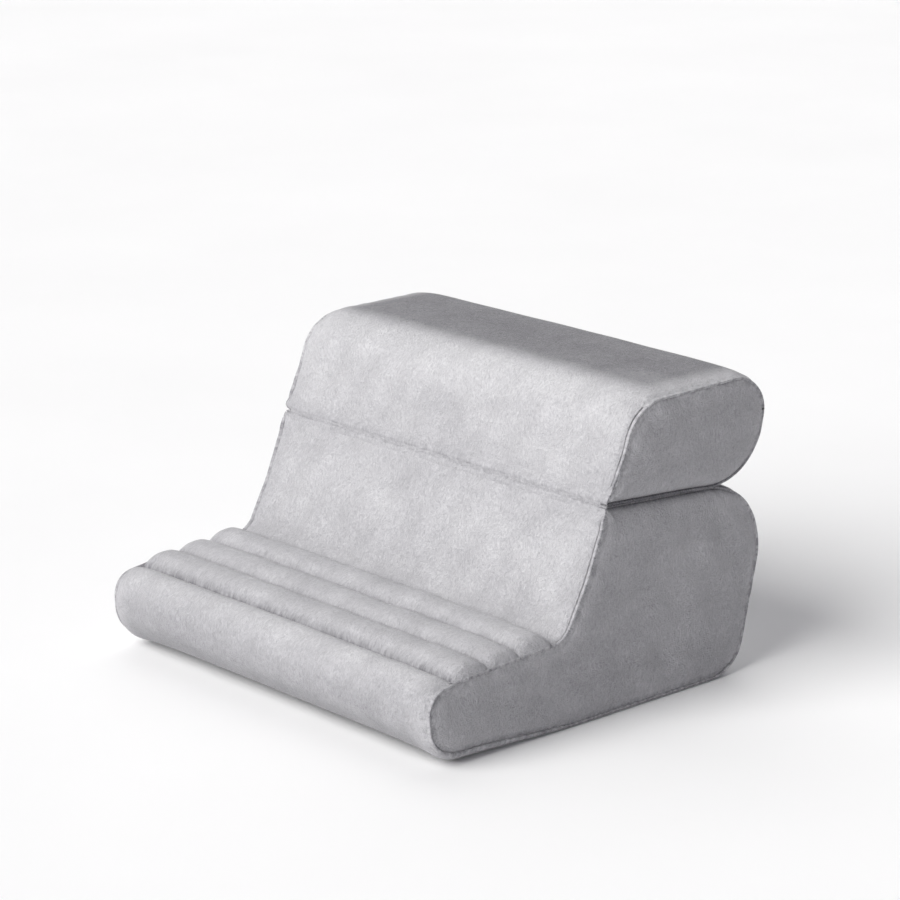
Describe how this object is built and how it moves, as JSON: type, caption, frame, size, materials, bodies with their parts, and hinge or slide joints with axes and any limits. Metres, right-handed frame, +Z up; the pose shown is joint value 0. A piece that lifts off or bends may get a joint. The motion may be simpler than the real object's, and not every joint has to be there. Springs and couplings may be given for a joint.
{
  "type": "tablet stand",
  "caption": "Folding pillow stand for a tablet: fabric-covered foam block with a rounded lip, sewn grooves and a sloped back, and an upper cushion that folds forward on a sewn hinge.",
  "frame": {"origin": "middle of the footprint, on the surface the stand rests on", "axes": "+X along the width, to the user's right; +Y away from the user, from the lip to the back; +Z up"},
  "size_m": [0.286, 0.2624, 0.181],
  "materials": {
    "velvet": "short-pile grey velvet",
    "foam": "cut polyurethane foam",
    "wadding": "rolled polyester wadding",
    "silicone": "matt silicone",
    "zip_tape": "woven polyester tape",
    "zip_teeth": "moulded resin",
    "zip_metal": "satin nickel-plated"
  },
  "bodies": {
    "lower_block": {"lower_foam_core": "foam", "front_roll_filling": "wadding", "middle_roll_filling": "wadding", "rear_roll_filling": "wadding", "front_lip_panel": "velvet", "channel_panel": "velvet", "slope_panel": "velvet", "lower_top_panel": "velvet", "lower_back_panel": "velvet", "lower_back_foot_panel": "velvet", "lower_side_panel_left": "velvet", "lower_side_panel_right": "velvet", "base_panel": "velvet", "hinge_seam_bead": "velvet", "grip_sheet": "silicone", "lower_zip_tape_top": "zip_tape", "lower_zip_tape_bottom": "zip_tape", "lower_zip_teeth": "zip_teeth", "lower_zip_stops": "zip_metal"},
    "upper_block": {"upper_foam_core": "foam", "upper_wrap_panel": "velvet", "upper_back_foot_panel": "velvet", "upper_bottom_panel": "velvet", "upper_side_panel_left": "velvet", "upper_side_panel_right": "velvet", "upper_zip_tape_top": "zip_tape", "upper_zip_tape_bottom": "zip_tape", "upper_zip_teeth": "zip_teeth", "upper_zip_stops": "zip_metal"},
    "lower_zip_slider_body": {"lower_zip_slider": "zip_metal"},
    "lower_zip_pull_body": {"lower_zip_pull": "zip_metal"},
    "upper_zip_slider_body": {"upper_zip_slider": "zip_metal"},
    "upper_zip_pull_body": {"upper_zip_pull": "zip_metal"}
  },
  "joints": [
    {"name": "fold_hinge", "type": "hinge", "parent": "lower_block", "child": "upper_block", "pos_m": [0, 0.0036, 0.1242], "axis": [1, 0, 0], "range_deg": [0, 170]},
    {"name": "lower_zip_slide", "type": "slide", "parent": "lower_block", "child": "lower_zip_slider_body", "axis": [-1, 0, 0], "range_m": [0, 0.2]},
    {"name": "lower_zip_pull_flip", "type": "hinge", "parent": "lower_zip_slider_body", "child": "lower_zip_pull_body", "pos_m": [0.1, 0.12448, 0.03936], "axis": [0, -0.2321, -0.9727], "range_deg": [0, 175]},
    {"name": "upper_zip_slide", "type": "slide", "parent": "upper_block", "child": "upper_zip_slider_body", "axis": [-1, 0, 0], "range_m": [0, 0.2]},
    {"name": "upper_zip_pull_flip", "type": "hinge", "parent": "upper_zip_slider_body", "child": "upper_zip_pull_body", "pos_m": [0.1, 0.12809, 0.13777], "axis": [0, -0.5, -0.866], "range_deg": [0, 175]}
  ]
}
